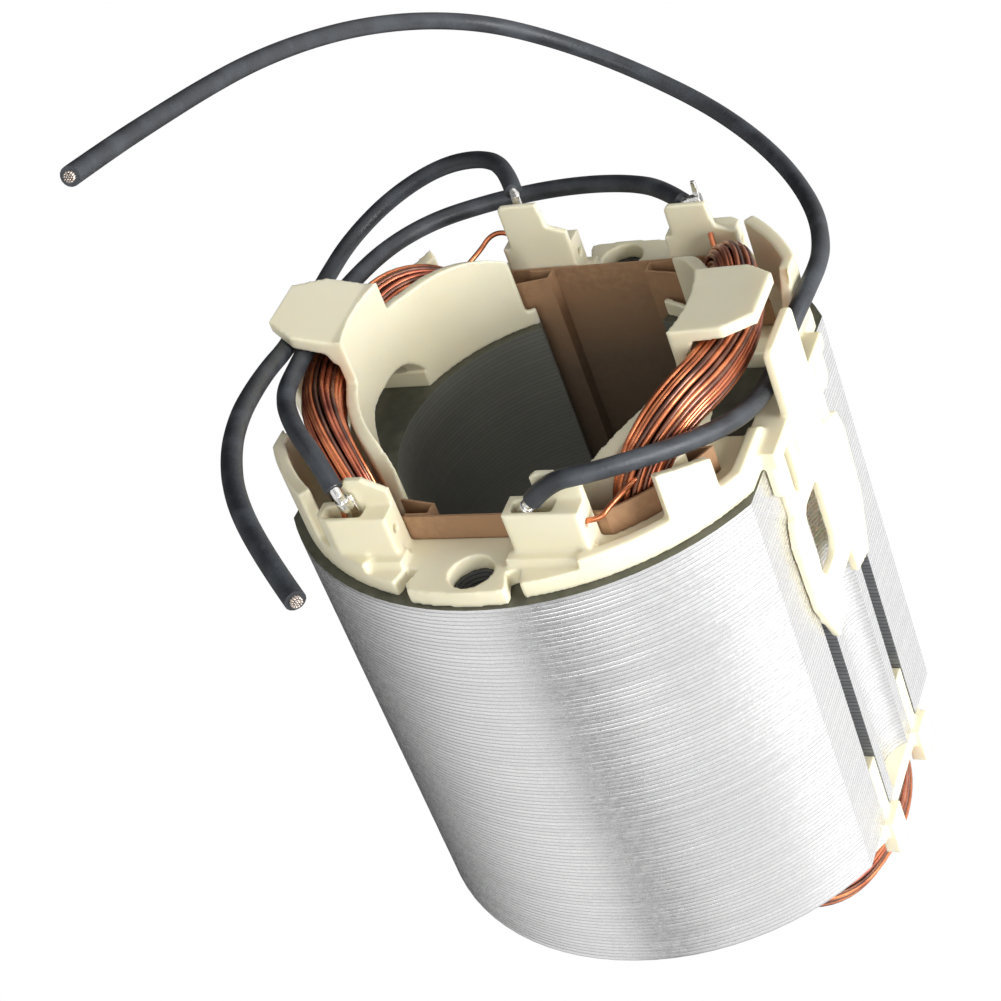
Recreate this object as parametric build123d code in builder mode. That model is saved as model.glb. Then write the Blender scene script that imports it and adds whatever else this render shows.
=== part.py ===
from build123d import *
import os
from math import asin, atan2, cos, degrees, pi, radians, sin, sqrt, tan

# Field stator of a two-pole motor: a stack of steel laminations, an insulating
# end frame on each face, two coils, slot papers and black leads.
# Millimetres. +Z is the shaft axis, the terminal end is up, and Z = 0 is the
# lowest edge of the lower end frame. The poles stand on +X and -X.

# Lamination stack
stack_diameter = 57.0
stack_length = 50.0
flat_cut_depth = 3.9
bore_diameter = 34.0
yoke_window_width = 40.4
slot_corner_diameter = 48.0
pole_half_angle = 66.0
pole_tip_thickness = 1.6
pole_neck_width = 22.0
pole_neck_start = 18.0
bolt_spacing = 50.0
bolt_hole_diameter = 4.5
key_slot_inner = 5.4
key_slot_outer = 7.9
key_slot_depth = 1.6
groove_width = 7.2
groove_depth = 2.0

# End frames
lower_frame_height = 10.4
flange_thickness = 1.8
upper_flange_setback = 1.0
lower_flange_setback = 2.2
flange_bore_clearance = 0.9
bolt_plate_setback = 0.45
guard_wall = 1.3
guard_long_angle = 62.5
guard_short_angle = 54.0
guard_foot_half_width = 8.6
upper_foot_height = 5.6
lower_foot_height = 3.0
guard_foot_radius = 20.2
foot_arch_half_width = 7.0
foot_window_outer = 22.6
tab_width = 10.2
tab_tip_width = 6.4
tab_reach = 25.6
tab_thickness = 1.3
right_tab_heights = (13.4, 13.7)
left_tab_heights = (14.6, 16.4)
rim_wall = 1.3
rim_wall_height = 2.9
rim_guard_height = 8.5
rim_block_heights = (6.4, 8.1)
rim_guard_end = 50.0
rim_block_angles = (34.2, 46.3)
rim_wall_end = 66.0
flat_guard_setback = 0.5
flat_guard_wall = 1.2
strut_half_width = 3.9
strut_height = 9.4
strut_standoff = 0.7
strut_thickness = 1.0

# Tongue of each end frame, lying on the flats of the stack
tongue_clearance = 0.05
tongue_thickness = 0.95
tongue_neck_width = 9.4
tongue_width = 19.0
tongue_length = 24.5
tongue_neck_length = 6.0
tongue_window_width = 5.4
tongue_window_shift = 3.2
tongue_window_top = 8.4
tongue_window_bottom = 17.4
prong_gap_width = 4.8
prong_gap_top = 20.6
side_leg_length = 3.4
side_leg_width = 2.7
short_prong_length = 7.4
finger_setback = 0.65
finger_thickness = 1.7
finger_start = 5.0
finger_width = 3.6
finger_depth = 4.3
key_rib_clearance = 0.15

# Terminal housings
housing_length = 7.8
housing_depth = 3.0
housing_height = 7.0
housing_back_height = 10.0
housing_back_start = 3.0
rear_back_heights = (12.3, 10.7)
rear_back_start = 0.9
rear_block_step = 2.9
housing_wall = 0.7
housing_block = 2.8
housing_paper_gap = 0.15
housing_outer_radius = 27.4
left_housing_end = 15.8
housing_pitch = 20.0
rear_housing_starts = (-10.8, 7.7)
wire_hole_diameter = 0.9
wire_hole_height = 4.9

# Coils
wire_diameter = 0.55
coil_leg_radial = 3.7
coil_leg_width = 4.8
coil_end_radial = 4.2
upper_end_depth = 5.6
lower_end_depth = 5.2
coil_radius = 21.6
coil_leg_angle = 48.6
upper_end_height = 9.2
lower_end_height = 6.6
upper_corner_radius = 9.3
lower_corner_radius = 10.6
strand_ridges = 12
strand_ridge_height = 0.2
corner_steps = 6

# Slot papers
paper_thickness = 0.25
paper_clearance = 0.1
paper_upper_projection = 4.5
paper_lower_projection = 1.6
closer_route = [(9.4, 17.35), (5.6, 18.2), (5.6, 19.65), (8.2, 19.65)]

# Terminal contacts
contact_sheet = 0.35
contact_plate_height = 2.4
contact_floor_gap = 1.25
conductor_lead_in = 0.7
conductor_diameter = 1.1

# Leads
lead_diameter = 1.9
core_depth = 3.0
core_proud = 0.4

stack_bottom = lower_frame_height
stack_top = stack_bottom + stack_length
paper_length = stack_length + paper_upper_projection + paper_lower_projection
width_across_flats = stack_diameter - 2 * flat_cut_depth
flat = width_across_flats / 2
flat_guard_outer = flat - flat_guard_setback
strut_inner = flat + strut_standoff
finger_inner = flat - finger_setback
wall_y = yoke_window_width / 2
corner_r = slot_corner_diameter / 2
bore_r = bore_diameter / 2
neck_y = pole_neck_width / 2
overall_r = stack_diameter / 2
frame_r = overall_r - upper_flange_setback
lower_frame_r = overall_r - lower_flange_setback

top_face = Plane.XY.offset(stack_top)
bottom_face = Plane(
    origin=(0, 0, stack_bottom), x_dir=(1, 0, 0), z_dir=(0, 0, -1)
)

os.makedirs("parts", exist_ok=True)


def save(part, name):
    part.label = name
    export_step(part, "parts/" + name + ".step")


def polar(radius, angle):
    return (radius * cos(radians(angle)), radius * sin(radians(angle)))


def ring_sector(r_in, r_out, start, end):
    """Lines and arcs round a flat sector between two radii and two angles."""
    CenterArc((0, 0), r_in, start, end - start)
    CenterArc((0, 0), r_out, start, end - start)
    Line(polar(r_in, start), polar(r_out, start))
    Line(polar(r_in, end), polar(r_out, end))


def quadrants():
    """Signs of X and Y for the four slots."""
    return [(1, 1), (-1, 1), (-1, -1), (1, -1)]


def slot_outline(sx, sy):
    """One quarter of a coil slot: pole back, neck, rounded yoke corner, yoke wall."""
    tip_inner = polar(bore_r - 0.5, pole_half_angle)
    tip_outer = polar(bore_r + pole_tip_thickness, pole_half_angle)
    corner_x = sqrt(corner_r**2 - neck_y**2)
    wall_x = sqrt(corner_r**2 - wall_y**2)
    middle = polar(corner_r, degrees(atan2(neck_y + wall_y, corner_x + wall_x)))
    points = [
        (0, tip_inner[1]), tip_inner, tip_outer,
        (pole_neck_start, neck_y), (corner_x, neck_y),
    ]
    flipped = [(sx * x, sy * y) for x, y in points]
    Polyline(*flipped)
    ThreePointArc(
        flipped[-1], (sx * middle[0], sy * middle[1]), (sx * wall_x, sy * wall_y)
    )
    Polyline((sx * wall_x, sy * wall_y), (0, sy * wall_y), flipped[0])


with BuildSketch() as slot_windows:
    for sx, sy in quadrants():
        with BuildLine():
            slot_outline(sx, sy)
        make_face()

# Lamination stack
with BuildPart() as stack:
    with BuildSketch(Plane.XY.offset(stack_bottom)):
        Circle(overall_r)
        Rectangle(width_across_flats, stack_diameter, mode=Mode.INTERSECT)
        Circle(bore_r, mode=Mode.SUBTRACT)
        add(slot_windows.sketch, mode=Mode.SUBTRACT)
        with Locations((0, bolt_spacing / 2), (0, -bolt_spacing / 2)):
            Circle(bolt_hole_diameter / 2, mode=Mode.SUBTRACT)
        key_width = key_slot_outer - key_slot_inner
        key_middle = (key_slot_outer + key_slot_inner) / 2
        for side in (1, -1):
            with Locations(
                (side * flat, key_middle), (side * flat, -key_middle)
            ):
                Rectangle(2 * key_slot_depth, key_width, mode=Mode.SUBTRACT)
        groove_r = (groove_depth**2 + groove_width**2 / 4) / (2 * groove_depth)
        groove_x = flat - groove_depth + groove_r
        with Locations((groove_x, 0), (-groove_x, 0)):
            Circle(groove_r, mode=Mode.SUBTRACT)
    extrude(amount=stack_length)
save(stack.part, "lamination_stack")


def side_plane(base):
    """Looks along X: its own x is the frame's y, its y points away from the stack."""
    return Plane(origin=base.origin, x_dir=base.y_dir, z_dir=base.x_dir)


def front_plane(base):
    """Looks along Y: its own x is the frame's x, its y points away from the stack."""
    return Plane(
        origin=base.origin, x_dir=base.x_dir, z_dir=base.x_dir.cross(base.z_dir)
    )


# Top edge of each guard from its front end to its back end, as y and height
right_front_edge = [(-16.3, 3.6), (-15.6, 5.2), (-14.4, 6.5), (-13.0, 7.6), (-10.6, 8.5), (-7.8, 9.1)]
right_back_edge = [(8.5, 9.8), (11.5, 9.6), (13.3, 9.2), (14.5, 8.3), (15.2, 6.4)]
left_front_edge = [(-15.2, 1.6), (-14.9, 3.6), (-14.4, 6.2), (-13.2, 8.3), (-11.3, 9.0), (-8.6, 9.4)]
left_back_edge = [(8.9, 10.9), (12.1, 10.7), (14.6, 9.8), (15.9, 8.6), (16.7, 6.8)]
lower_edge_share = 0.91


def pole_guard(base, side, tab_heights, foot_height, share):
    """Curved wall at one pole, with a lobe each side and, up top, a tab over the coil."""
    r_in = bore_r + flange_bore_clearance
    r_out = r_in + guard_wall
    if side > 0:
        sector = (-guard_long_angle, guard_short_angle)
        front, back = right_front_edge, right_back_edge
    else:
        sector = (180 - guard_long_angle, 180 + guard_short_angle)
        front, back = left_front_edge, left_back_edge
    front = [(y, h * share) for y, h in front]
    back = [(y, h * share) for y, h in back]
    reach = r_out * sin(radians(guard_long_angle)) + 0.1
    tab_y = tab_width / 2
    arch = foot_height - 0.8
    with BuildPart() as guard:
        with BuildSketch(base):
            with BuildLine():
                ring_sector(r_in, r_out, *sector)
            make_face()
        extrude(amount=20)
        with BuildSketch(side_plane(base)):
            with BuildLine():
                Polyline((-reach, front[0][1] - 1.4), (-reach, 0), (reach, 0),
                         (reach, back[-1][1] - 2.4))
                Spline(*back, (reach, back[-1][1] - 2.4))
                Polyline(back[0], (tab_y, back[0][1] + 0.3), (tab_y, tab_heights[0]),
                         (-tab_y, tab_heights[0]), (-tab_y, front[-1][1] + 0.3), front[-1])
                Spline((-reach, front[0][1] - 1.4), *front)
            make_face()
        extrude(amount=side * (r_out + 1), mode=Mode.INTERSECT)
        # Thicker foot under the tab, with an arch that shows the end sheet
        with BuildSketch(base):
            Circle(guard_foot_radius)
            Circle(r_in, mode=Mode.SUBTRACT)
            with Locations((side * guard_foot_radius, 0)):
                Rectangle(
                    guard_foot_radius, 2 * guard_foot_half_width, mode=Mode.INTERSECT
                )
        extrude(amount=foot_height)
        with BuildSketch(side_plane(base)):
            with BuildLine():
                Line((-foot_arch_half_width, 0), (foot_arch_half_width, 0))
                Spline(
                    (-foot_arch_half_width, 0),
                    (-0.9 * foot_arch_half_width, 0.62 * arch),
                    (-0.62 * foot_arch_half_width, 0.96 * arch),
                    (0, arch),
                    (0.62 * foot_arch_half_width, 0.93 * arch),
                    (0.9 * foot_arch_half_width, 0.55 * arch),
                    (foot_arch_half_width, 0),
                )
            make_face()
        extrude(amount=side * foot_window_outer, mode=Mode.SUBTRACT)
        # Tab that leans outwards over the coil
        if tab_heights[1] > lower_frame_height:
            with BuildSketch(front_plane(base).offset(-tab_y)):
                with BuildLine():
                    Polyline(
                        (side * (r_in + 0.5), tab_heights[0] - 2 * tab_thickness),
                        (side * (r_in + 0.5), tab_heights[0]),
                        (side * tab_reach, tab_heights[1]),
                        (side * tab_reach, tab_heights[1] - tab_thickness),
                        (side * (r_out + 0.3), tab_heights[0] - tab_thickness),
                        (side * (r_out - 0.25), tab_heights[0] - 2 * tab_thickness),
                        close=True,
                    )
                make_face()
            extrude(amount=tab_width)
            for sign in (1, -1):
                with BuildSketch(base):
                    with BuildLine():
                        Polyline(
                            (side * (r_out + 3.5), sign * tab_y),
                            (side * tab_reach, sign * tab_tip_width / 2),
                            (side * (tab_reach + 1), sign * tab_tip_width / 2),
                            (side * (tab_reach + 1), sign * (tab_y + 1)),
                            (side * (r_out + 3.5), sign * (tab_y + 1)),
                            close=True,
                        )
                    make_face()
                extrude(amount=20, mode=Mode.SUBTRACT)
    return guard.part


def rim_walls(base):
    """Low wall round the outside, with a high guard and a block in opposite quarters."""
    r_out = frame_r
    r_in = r_out - rim_wall
    edge = flat - 0.2
    corner = 90 - degrees(asin(edge / r_in))
    with BuildPart() as walls:
        for turn in (0, 180):
            sign = 1 if turn == 0 else -1
            with BuildSketch(base):
                with BuildLine():
                    ring_sector(r_in, r_out, turn + corner - 4, turn + rim_guard_end)
                make_face()
            extrude(amount=rim_guard_height)
            with BuildSketch(base):
                with BuildLine():
                    ring_sector(
                        r_in, r_out, turn + rim_guard_end - 1, turn + rim_wall_end
                    )
                make_face()
                with BuildLine():
                    ring_sector(r_in, r_out, turn - rim_wall_end, turn - corner + 4)
                make_face()
            extrude(amount=rim_wall_height)
            # Straight parts along the flats
            outer = flat_guard_outer
            with BuildSketch(side_plane(base).offset(sign * (outer - flat_guard_wall))):
                with BuildLine():
                    Polyline(
                        (sign * 8.6, 0), (sign * 8.6, 4.0), (sign * 11.2, rim_guard_height),
                        (sign * 13.2, rim_guard_height), (sign * 13.2, 0), close=True,
                    )
                make_face()
                with BuildLine():
                    Polyline(
                        (-sign * 5.6, 0), (-sign * 5.6, 2.2), (-sign * 6.6, rim_wall_height),
                        (-sign * 13.2, rim_wall_height), (-sign * 13.2, 0), close=True,
                    )
                make_face()
            extrude(amount=sign * flat_guard_wall)
        with BuildSketch(base):
            Rectangle(2 * flat_guard_outer, stack_diameter)
        extrude(amount=20, mode=Mode.INTERSECT)
    return walls.part


def rim_block(base, sign):
    """Short thick block on the rim, its top sloping up away from the flat."""
    near, far = [
        frame_r * sin(radians(angle)) - 0.4 for angle in rim_block_angles
    ]
    low, high = rim_block_heights
    turn = 0 if sign > 0 else 180
    with BuildPart() as block:
        with BuildSketch(base):
            with BuildLine():
                ring_sector(
                    frame_r - rim_wall, frame_r, turn - rim_block_angles[1],
                    turn - rim_block_angles[0],
                )
            make_face()
        extrude(amount=high + 1)
        with BuildSketch(side_plane(base)):
            with BuildLine():
                Polyline(
                    (-sign * (near - 2), 0), (-sign * (near - 2), low - 0.8),
                    (-sign * near, low), (-sign * far, high),
                    (-sign * (far + 2), high + 0.8), (-sign * (far + 2), 0), close=True,
                )
            make_face()
        extrude(amount=sign * stack_diameter / 2, mode=Mode.INTERSECT)
    return block.part


def long_tongue(side):
    """Outline of the upper tongue: band, side legs, neck, two prongs and a window."""
    half = tongue_width / 2
    neck = tongue_neck_width / 2
    end = -tongue_length
    with BuildSketch() as outline:
        with BuildLine():
            Polyline(
                (-half, flange_thickness), (half, flange_thickness),
                (half, -side_leg_length), (half - 0.5 * side_leg_width, -side_leg_length - 0.9),
                (half - side_leg_width, -side_leg_length), (half - side_leg_width, 0),
                (neck, 0), (neck, -tongue_neck_length), (half - 0.8, -tongue_neck_length - 1.6),
                (half, -tongue_neck_length - 4), (half - 0.4, end + 6),
                (half - 3, end), (prong_gap_width / 2, end + 0.8),
                (prong_gap_width / 2, -prong_gap_top), (-prong_gap_width / 2, -prong_gap_top),
                (-prong_gap_width / 2, end + 0.8), (-half + 3, end), (-half + 0.4, end + 6),
                (-half, -tongue_neck_length - 4), (-half + 0.8, -tongue_neck_length - 1.6),
                (-neck, -tongue_neck_length), (-neck, 0), (-half + side_leg_width, 0),
                (-half + side_leg_width, -side_leg_length),
                (-half + 0.5 * side_leg_width, -side_leg_length - 0.9),
                (-half, -side_leg_length), close=True,
            )
        make_face()
        window_middle = -(tongue_window_top + tongue_window_bottom) / 2
        with Locations((-side * tongue_window_shift, window_middle)):
            RectangleRounded(
                tongue_window_width, tongue_window_bottom - tongue_window_top, 1.6,
                mode=Mode.SUBTRACT,
            )
    return outline.sketch


def tongue(base, side):
    """Upper plate on one flat of the stack, with ribs in the two key slots."""
    inner = flat + tongue_clearance
    width = key_slot_outer - key_slot_inner - 2 * key_rib_clearance
    middle = (key_slot_outer + key_slot_inner) / 2
    depth = key_slot_depth - key_rib_clearance
    with BuildPart() as plate:
        with BuildSketch(side_plane(base).offset(side * inner)):
            add(long_tongue(side))
        extrude(amount=side * tongue_thickness)
        with BuildSketch(base):
            for sign in (1, -1):
                with Locations((side * (inner + 0.3 - depth / 2), sign * middle)):
                    Rectangle(depth + 0.6, width)
        extrude(amount=-(tongue_length - 3))
        # Strut that stands above the face as a guard outside the coil
        with BuildSketch(side_plane(base).offset(side * strut_inner)):
            with Locations((0, strut_height / 2 - 1.5)):
                RectangleRounded(2 * strut_half_width, strut_height + 3, 0.9)
        extrude(amount=side * strut_thickness)
        # Step that carries the band out from the flange
        step_inner = flat - 0.6
        step_outer = strut_inner + strut_thickness - 0.15
        with BuildSketch(base):
            with Locations((side * (step_inner + step_outer) / 2, 0)):
                Rectangle(step_outer - step_inner, tongue_width)
        extrude(amount=flange_thickness)
    return plate.part


def lower_clips(base, side):
    """Two short ribs in the key slots, each with a finger that hooks over the coil."""
    inner = flat - 0.45
    width = key_slot_outer - key_slot_inner - 2 * key_rib_clearance
    middle = (key_slot_outer + key_slot_inner) / 2
    depth = key_slot_depth - key_rib_clearance
    with BuildPart() as clips:
        for sign in (1, -1):
            with BuildSketch(base.offset(-short_prong_length)):
                with Locations((side * (flat - depth / 2), sign * middle)):
                    Rectangle(depth, width)
            extrude(amount=short_prong_length + 1)
            with BuildSketch(base):
                with Locations(
                    (side * (finger_inner + finger_thickness / 2),
                     sign * (finger_start + finger_width / 2))
                ):
                    Rectangle(finger_thickness, finger_width)
            extrude(amount=finger_depth)
        with BuildSketch(base):
            with Locations((side * inner, 0)):
                Rectangle(1.2, tongue_width)
        extrude(amount=flange_thickness)
    return clips.part


def housing_walls(base, left_x, tall_wall):
    """Open-topped pocket for one contact, with a taller wall on its bore side."""
    back_y = -(wall_y + housing_paper_gap)
    front_y = back_y - housing_depth
    middle_y = (back_y + front_y) / 2
    right_x = left_x + housing_length
    block_x = right_x - housing_block
    with BuildPart() as pocket:
        with BuildSketch(base):
            with Locations((left_x + housing_length / 2, middle_y)):
                Rectangle(housing_length, housing_depth)
        extrude(amount=housing_height)
        # Taller wall on the bore side, sloping down at its outer end
        with BuildSketch(front_plane(base).offset(-back_y)):
            with BuildLine():
                Polyline(*[(left_x + x, h) for x, h in tall_wall], close=True)
            make_face()
        extrude(amount=housing_wall)
        with BuildSketch(base.offset(flange_thickness + 0.6)):
            with Locations(((left_x + housing_wall + block_x) / 2, middle_y)):
                Rectangle(
                    block_x - left_x - housing_wall, housing_depth - 2 * housing_wall
                )
        extrude(amount=housing_height, mode=Mode.SUBTRACT)
        with BuildSketch(side_plane(base).offset(block_x - 0.5)):
            with Locations((middle_y - 0.2, wire_hole_height)):
                Circle(wire_hole_diameter / 2)
        extrude(amount=housing_block + 1, mode=Mode.SUBTRACT)
        with BuildSketch(base):
            Circle(housing_outer_radius)
        extrude(amount=20, mode=Mode.INTERSECT)
        # Sloped foot that joins the pocket to the flange
        with BuildSketch(base):
            with Locations((left_x + housing_length / 2, front_y)):
                Rectangle(housing_length + 1.2, 2.2)
            Circle(housing_outer_radius, mode=Mode.INTERSECT)
        extrude(amount=flange_thickness + 0.8)
    return pocket.part


# Tall wall of a housing, as distance from its left end and height
block_start = housing_length - housing_block
front_tall_wall = [
    (housing_back_start, 0), (housing_back_start, housing_back_height - 0.4),
    (housing_back_start + 0.6, housing_back_height), (block_start + 0.4, housing_back_height),
    (housing_length, housing_back_height - 1.4), (housing_length, 0),
]
rear_tall_walls = []
for rear_height in rear_back_heights:
    rear_tall_walls.append([
        (rear_back_start, 0), (rear_back_start, rear_height - 0.4),
        (rear_back_start + 0.4, rear_height), (block_start + 0.5, rear_height),
        (block_start + 0.8, rear_height - rear_block_step),
        (housing_length, rear_height - rear_block_step - 0.8), (housing_length, 0),
    ])


def end_frame(base, upper):
    """One moulded insulating frame; only the upper one carries terminal housings."""
    outer = frame_r if upper else lower_frame_r
    lower_guard = (lower_frame_height, lower_frame_height)
    pieces = []
    if upper:
        pieces.append(rim_walls(base))
        pieces.append(rim_block(base, 1))
        pieces.append(rim_block(base, -1))
        pieces.append(pole_guard(base, 1, right_tab_heights, upper_foot_height, 1))
        pieces.append(pole_guard(base, -1, left_tab_heights, upper_foot_height, 1))
        pieces.append(tongue(base, 1))
        pieces.append(tongue(base, -1))
        for left_x in (-left_housing_end, -left_housing_end + housing_pitch):
            pieces.append(housing_walls(base, left_x, front_tall_wall))
        for left_x, tall_wall in zip(rear_housing_starts, rear_tall_walls):
            pocket = housing_walls(base, left_x, tall_wall)
            pieces.append(pocket.mirror(Plane.XZ))
    else:
        for side in (1, -1):
            pieces.append(pole_guard(
                base, side, lower_guard, lower_foot_height, lower_edge_share))
            pieces.append(lower_clips(base, side))
    with BuildPart() as frame:
        with BuildSketch(base):
            Circle(outer)
            Rectangle(2 * (flat - 0.2), stack_diameter, mode=Mode.INTERSECT)
            if upper:
                # Plates that reach further out round the two bolt holes
                plate_r = overall_r - bolt_plate_setback
                for turn in (0, 180):
                    with BuildLine():
                        ring_sector(outer - 1, plate_r, turn - 102.6, turn - 81.0)
                    make_face()
                with Locations((0, 0)):
                    Rectangle(
                        2 * foot_window_outer, 2 * foot_arch_half_width - 1.2,
                        mode=Mode.SUBTRACT,
                    )
            with Locations((0, bolt_spacing / 2), (0, -bolt_spacing / 2)):
                Circle(bolt_hole_diameter / 2, mode=Mode.SUBTRACT)
            for turn in (0, 180):
                with Locations(
                    Location((*polar(outer, turn - 105), 0), (0, 0, turn - 105)),
                    Location((*polar(outer, turn - 79.5), 0), (0, 0, turn - 72)),
                ):
                    Rectangle(4.4, 1.3, mode=Mode.SUBTRACT)
            Circle(bore_r + flange_bore_clearance, mode=Mode.SUBTRACT)
            add(slot_windows.sketch, mode=Mode.SUBTRACT)
        extrude(amount=flange_thickness)
        add(pieces)
    return frame.part


upper_frame = end_frame(top_face, True)
save(upper_frame, "upper_end_frame")
lower_frame = end_frame(bottom_face, False)
save(lower_frame, "lower_end_frame")


def coil_station(side, s_path, z_path, ds, dz, radial, width):
    """Scalloped bundle outline across the coil at one point of its loop."""
    angle = s_path / coil_radius
    if side < 0:
        angle = pi - angle
        ds = -ds
    out = (cos(angle), sin(angle), 0)
    along = (-sin(angle) * ds, cos(angle) * ds, dz)
    place = Plane(
        origin=(coil_radius * out[0], coil_radius * out[1], z_path),
        x_dir=out,
        z_dir=along,
    )
    points = []
    count = 2 * strand_ridges
    for i in range(count):
        turn = 2 * pi * (i + 0.5) / count
        c = cos(turn)
        s = sin(turn)
        # Rounded rectangle with alternate points pushed in between the strands
        reach = (abs(2 * c / radial) ** 3.2 + abs(2 * s / width) ** 3.2) ** (-1 / 3.2)
        if i % 2:
            reach = reach - strand_ridge_height
        points.append((reach * c, reach * s))
    return place, points


def coil_half(side, upper):
    """Half of the loop, from the middle of one leg over the end turn to the other."""
    if upper:
        end_z = stack_top + upper_end_height
        depth = upper_end_depth
        corner = upper_corner_radius
        face = stack_top
    else:
        end_z = stack_bottom - lower_end_height
        depth = lower_end_depth
        corner = lower_corner_radius
        face = stack_bottom
    middle = stack_bottom + stack_length / 2
    leg_s = coil_radius * radians(coil_leg_angle)
    sign = 1 if upper else -1
    centre_z = end_z - sign * corner
    centre_s = leg_s - corner
    stations = [(leg_s, middle, 0, sign, 0.0), (leg_s, (middle + face) / 2, 0, sign, 0.0)]
    for k in range(corner_steps + 1):
        turn = (pi / 2) * k / corner_steps
        share = 0.15 + 0.85 * k / corner_steps
        stations.append(
            (centre_s + corner * cos(turn), centre_z + sign * corner * sin(turn),
             -sin(turn), sign * cos(turn), share)
        )
    stations.append((centre_s / 2, end_z, -1, 0, 1.0))
    stations.append((0, end_z, -1, 0, 1.0))
    mirrored = [(-s, z, ds, -dz, share) for s, z, ds, dz, share in reversed(stations[:-1])]
    with BuildPart() as half:
        for s, z, ds, dz, share in stations + mirrored:
            radial = coil_leg_radial + (coil_end_radial - coil_leg_radial) * share
            width = coil_leg_width + (depth - coil_leg_width) * share
            place, points = coil_station(side, s, z, ds, dz, radial, width)
            with BuildSketch(place):
                Polygon(*points, align=None)
        loft(ruled=True)
    return half.part


def round_wire(points, radii, diameter):
    """Round wire or lead along a hand-laid route with tangent bends."""
    with BuildLine() as route:
        FilletPolyline(*points, radius=radii)
    with BuildPart() as wire:
        with BuildSketch(Plane(origin=route.line @ 0, z_dir=route.line % 0)):
            Circle(diameter / 2)
        sweep(path=route.line)
    return wire.part


def coil(side, tails):
    upper = coil_half(side, True)
    lower = coil_half(side, False)
    wires = [round_wire(points, 0.6, wire_diameter) for points in tails]
    with BuildPart() as whole:
        add(upper)
        add(lower)
        add(wires)
    return whole.part


# Each coil ends in two wires that run to the terminal housings
right_tails = [
    [(16.2, -15.8, 66.2), (13.9, -20.3, 66.0), (13.2, -22.05, 65.3), (8.9, -22.05, 65.3)],
    [(16.1, 15.7, 65.5), (13.5, 18.3, 66.0), (13.0, 20.1, 67.6)],
]
left_tails = [
    [(-16.2, 15.8, 66.3), (-13.8, 20.2, 67.2), (-12.3, 21.8, 68.7), (-10.0, 22.0, 68.5),
     (-9.7, 22.0, 66.7)],
    [(-16.1, -15.7, 66.4), (-13.8, -19.6, 68.0), (-13.3, -21.2, 68.2), (-13.2, -21.8, 66.1)],
]
save(coil(1, right_tails), "field_coil_right")
save(coil(-1, left_tails), "field_coil_left")


def slot_paper(sign):
    """Sheet that lines one slot pair along the neck, the corner and the yoke wall."""
    inset = paper_clearance + paper_thickness / 2
    y_neck = neck_y + inset
    y_wall = wall_y - inset
    r = corner_r - inset
    x_corner = sqrt(r**2 - y_neck**2)
    x_wall = sqrt(r**2 - y_wall**2)
    middle = polar(r, degrees(atan2(y_neck + y_wall, x_corner + x_wall)))
    with BuildPart() as paper:
        with BuildSketch(Plane.XY.offset(stack_bottom - paper_lower_projection)):
            with BuildLine() as route:
                Line((-pole_neck_start - 0.3, sign * y_neck), (-x_corner, sign * y_neck))
                ThreePointArc(
                    (-x_corner, sign * y_neck), (-middle[0], sign * middle[1]),
                    (-x_wall, sign * y_wall),
                )
                Line((-x_wall, sign * y_wall), (x_wall, sign * y_wall))
                ThreePointArc(
                    (x_wall, sign * y_wall), (middle[0], sign * middle[1]),
                    (x_corner, sign * y_neck),
                )
                Line((x_corner, sign * y_neck), (pole_neck_start + 0.3, sign * y_neck))
            trace(line_width=paper_thickness)
        extrude(amount=paper_length)
    return paper.part


save(slot_paper(-1), "slot_liner_front")
save(slot_paper(1), "slot_liner_back")

# Folded paper strips that close the four slot openings
for sx, sy in quadrants():
    with BuildPart() as closer:
        with BuildSketch(Plane.XY.offset(stack_bottom - paper_lower_projection)):
            with BuildLine():
                Polyline(*[(sx * x, sy * y) for x, y in closer_route])
            trace(line_width=paper_thickness)
        extrude(amount=paper_length)
    name = ("front" if sy < 0 else "back") + "_" + ("left" if sx < 0 else "right")
    save(closer.part, "slot_closer_" + name)


def contact(left_x, insets, sign, leaf_depth, ear, lead_end, foot):
    """Tinned plate in a pocket, its raised ear and the stripped lead end joined to it."""
    floor = stack_top + flange_thickness + contact_floor_gap
    x_low = left_x + insets[0]
    x_high = left_x + block_start - insets[1]
    y_middle = sign * (wall_y + housing_paper_gap + housing_wall + leaf_depth)
    edge, ear_width, ear_height = ear
    ear_middle = x_low + ear_width / 2 if edge < 0 else x_high - ear_width / 2
    foot_x = x_low + foot[0] if edge < 0 else x_high - foot[0]
    foot_point = Vector(foot_x, y_middle + sign * foot[1], stack_top + foot[2])
    end = Vector(*lead_end[0])
    knee = end + (end - Vector(*lead_end[1])).normalized() * conductor_lead_in
    with BuildPart() as plate:
        with BuildSketch(Plane.XY.offset(floor)):
            with Locations(((x_low + x_high) / 2, y_middle)):
                Rectangle(x_high - x_low, contact_sheet)
        extrude(amount=contact_plate_height)
        with BuildSketch(Plane.XY.offset(floor)):
            with Locations((ear_middle, y_middle)):
                Rectangle(ear_width, contact_sheet)
        extrude(amount=stack_top + ear_height - floor)
        for start, stop in ((end, knee), (knee, foot_point)):
            with BuildSketch(Plane(origin=start, z_dir=stop - start)):
                Circle(conductor_diameter / 2)
            extrude(amount=(stop - start).length)
    return plate.part


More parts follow.
